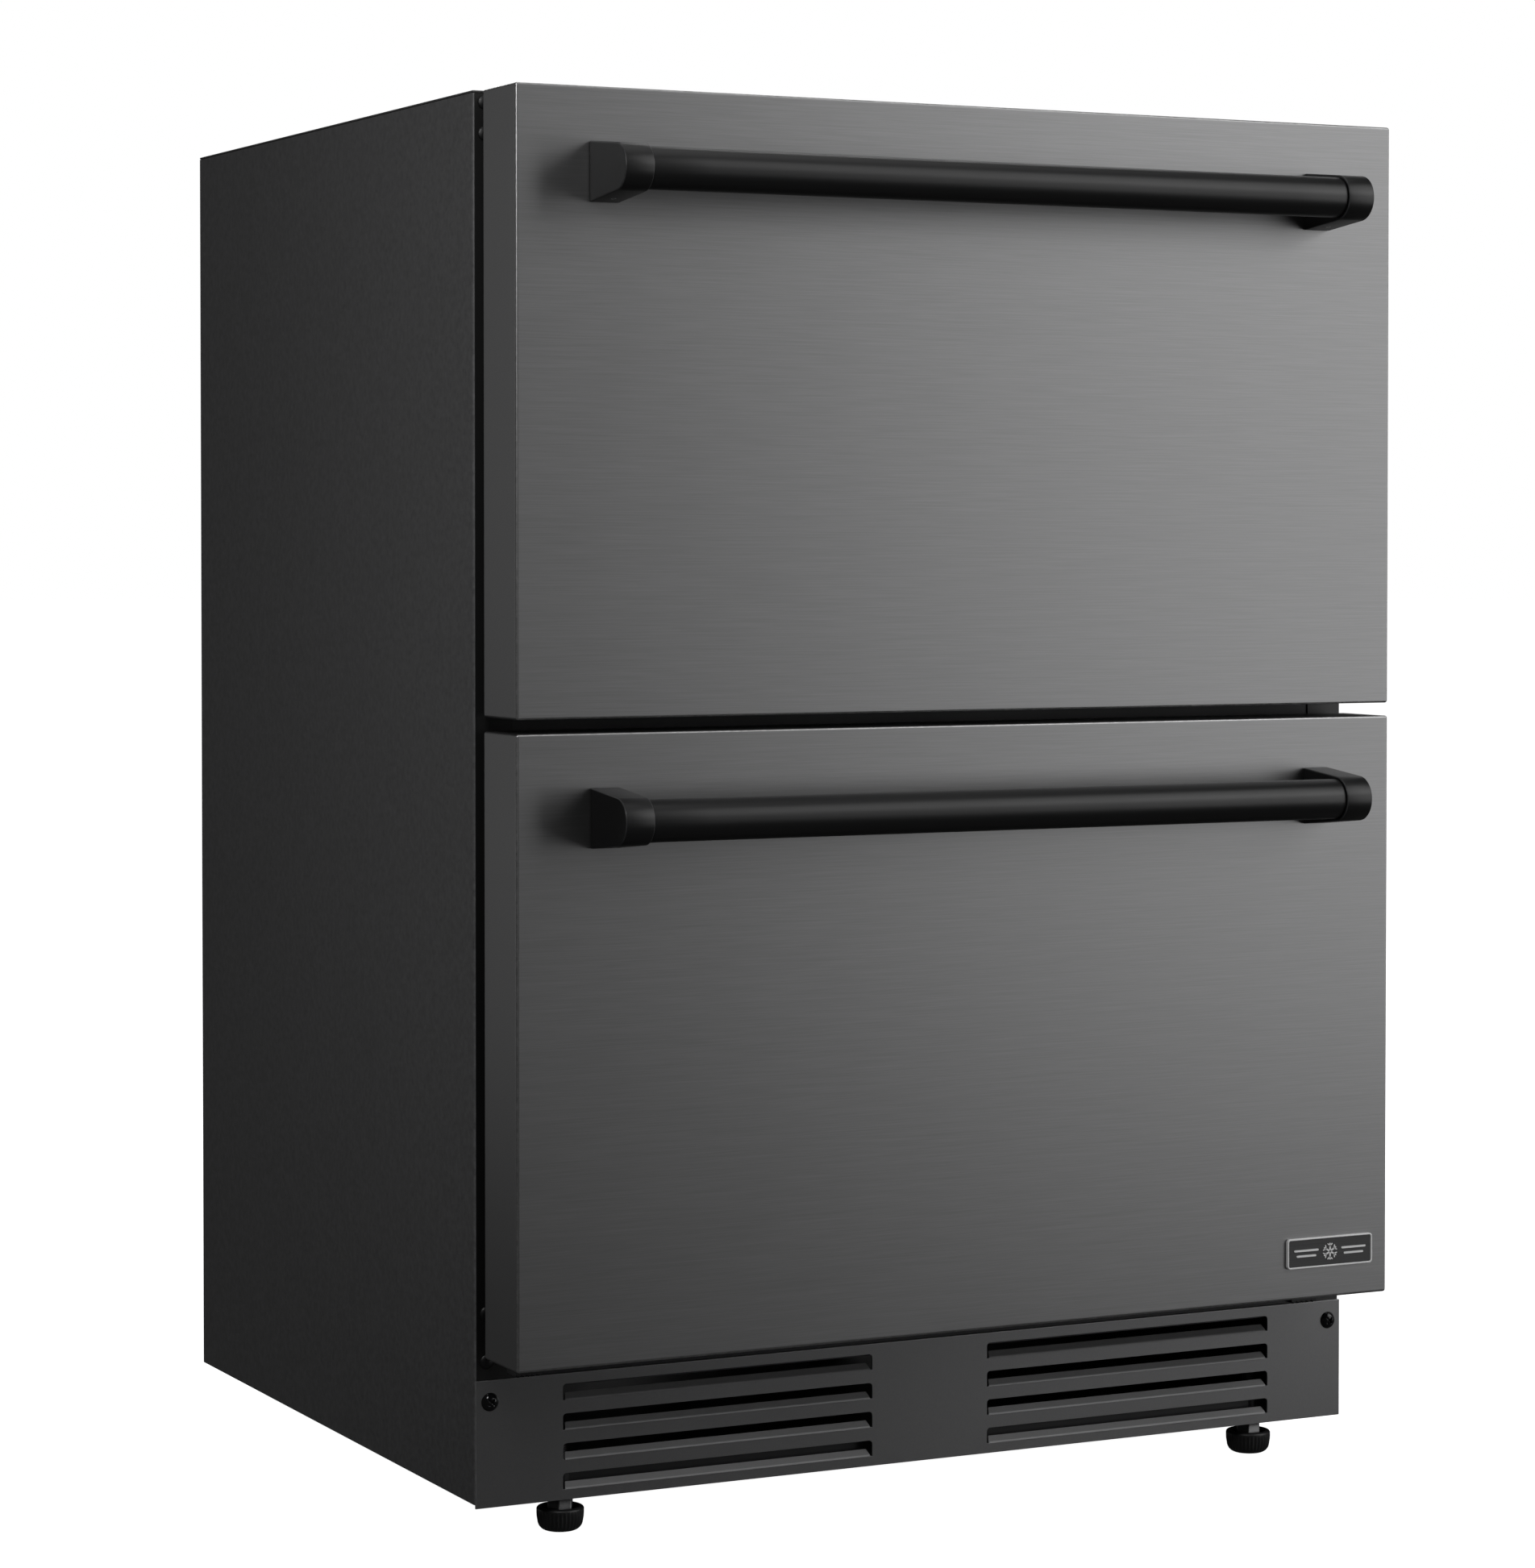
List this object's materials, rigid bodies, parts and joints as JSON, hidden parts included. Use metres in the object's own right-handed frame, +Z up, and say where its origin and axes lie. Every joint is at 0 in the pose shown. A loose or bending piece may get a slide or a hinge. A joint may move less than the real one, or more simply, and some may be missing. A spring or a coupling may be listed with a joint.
{
  "type": "under counter fridge",
  "caption": "Free-standing under-counter refrigerator with stacked pull-out drawers, bar handles, louvred kick plate and levelling feet.",
  "frame": {"origin": "on the floor, under the middle of the whole box from the handles' noses to the back", "axes": "+X to the user's right seen from the front, +Y to the back, +Z up; the drawers open towards -Y"},
  "size_m": [0.597, 0.5862, 0.838],
  "materials": {
    "brushed_skin": "satin",
    "black_sheet": "satin",
    "satin_black": "satin",
    "dark_plastic": "matte",
    "gasket_rubber": "matte",
    "liner_plastic": "satin",
    "foam": "matte",
    "zinc_plate": "satin",
    "stainless": "satin",
    "fin_aluminium": "satin",
    "compressor_enamel": "gloss",
    "copper_line": "satin",
    "lamp_diffuser": "satin",
    "badge_metal": "satin"
  },
  "bodies": {
    "cabinet": {"side_panel_left": "black_sheet", "side_panel_right": "black_sheet", "top_panel": "black_sheet", "rear_panel": "black_sheet", "rear_grille": "black_sheet", "face_frame": "black_sheet", "mullion_bar": "black_sheet", "base_pan": "black_sheet", "underside_panel": "black_sheet", "kick_plate": "satin_black", "kick_screw_left": "satin_black", "kick_screw_right": "satin_black", "cord_gland": "dark_plastic", "control_panel": "dark_plastic", "drain_pan": "dark_plastic", "evaporator_fan_motor": "dark_plastic", "condenser_fan_motor": "dark_plastic", "liner": "liner_plastic", "evaporator_cover": "liner_plastic", "foam_insulation": "foam", "upper_slide_outer_left": "zinc_plate", "upper_slide_outer_right": "zinc_plate", "lower_slide_outer_left": "zinc_plate", "lower_slide_outer_right": "zinc_plate", "evaporator": "fin_aluminium", "condenser": "fin_aluminium", "compressor": "compressor_enamel", "refrigerant_line": "copper_line", "light_bar": "lamp_diffuser"},
    "upper_drawer": {"upper_front_skin": "brushed_skin", "upper_front_core": "foam", "upper_inner_panel": "stainless", "upper_gasket": "gasket_rubber", "upper_handle_bar": "satin_black", "upper_handle_post_left": "satin_black", "upper_handle_post_right": "satin_black", "upper_bin": "stainless", "upper_slide_inner_left": "zinc_plate", "upper_slide_inner_right": "zinc_plate"},
    "upper_rails": {"upper_slide_middle_left": "zinc_plate", "upper_slide_middle_right": "zinc_plate"},
    "lower_drawer": {"lower_front_skin": "brushed_skin", "lower_front_core": "foam", "lower_inner_panel": "stainless", "lower_gasket": "gasket_rubber", "lower_handle_bar": "satin_black", "lower_handle_post_left": "satin_black", "lower_handle_post_right": "satin_black", "lower_bin": "stainless", "lower_slide_inner_left": "zinc_plate", "lower_slide_inner_right": "zinc_plate", "badge": "badge_metal"},
    "lower_rails": {"lower_slide_middle_left": "zinc_plate", "lower_slide_middle_right": "zinc_plate"},
    "foot_front_left": {"foot_front_left": "dark_plastic"},
    "foot_front_right": {"foot_front_right": "dark_plastic"},
    "foot_rear_left": {"foot_rear_left": "dark_plastic"},
    "foot_rear_right": {"foot_rear_right": "dark_plastic"},
    "evaporator_fan": {"evaporator_fan": "dark_plastic"},
    "condenser_fan": {"condenser_fan": "dark_plastic"}
  },
  "joints": [
    {"name": "upper_drawer_slide", "type": "slide", "parent": "cabinet", "child": "upper_drawer", "axis": [0, -1, 0], "range_m": [0, 0.38]},
    {"name": "upper_rails_slide", "type": "slide", "parent": "cabinet", "child": "upper_rails", "axis": [0, -1, 0], "range_m": [0, 0.19]},
    {"name": "lower_drawer_slide", "type": "slide", "parent": "cabinet", "child": "lower_drawer", "axis": [0, -1, 0], "range_m": [0, 0.38]},
    {"name": "lower_rails_slide", "type": "slide", "parent": "cabinet", "child": "lower_rails", "axis": [0, -1, 0], "range_m": [0, 0.19]},
    {"name": "foot_front_left_screw", "type": "slide", "parent": "cabinet", "child": "foot_front_left", "axis": [0, 0, -1], "range_m": [0, 0.02]},
    {"name": "foot_front_right_screw", "type": "slide", "parent": "cabinet", "child": "foot_front_right", "axis": [0, 0, -1], "range_m": [0, 0.02]},
    {"name": "foot_rear_left_screw", "type": "slide", "parent": "cabinet", "child": "foot_rear_left", "axis": [0, 0, -1], "range_m": [0, 0.02]},
    {"name": "foot_rear_right_screw", "type": "slide", "parent": "cabinet", "child": "foot_rear_right", "axis": [0, 0, -1], "range_m": [0, 0.02]},
    {"name": "evaporator_fan_spin", "type": "hinge", "parent": "cabinet", "child": "evaporator_fan", "pos_m": [0, 0.1961, 0.72], "axis": [0, -1, 0], "continuous": true},
    {"name": "condenser_fan_spin", "type": "hinge", "parent": "cabinet", "child": "condenser_fan", "pos_m": [0.04, 0.2131, 0.13], "axis": [1, 0, 0], "continuous": true}
  ],
  "couplings": [
    {"joint": "upper_rails_slide", "follows": "upper_drawer_slide", "ratio": 0.5},
    {"joint": "lower_rails_slide", "follows": "lower_drawer_slide", "ratio": 0.5}
  ]
}
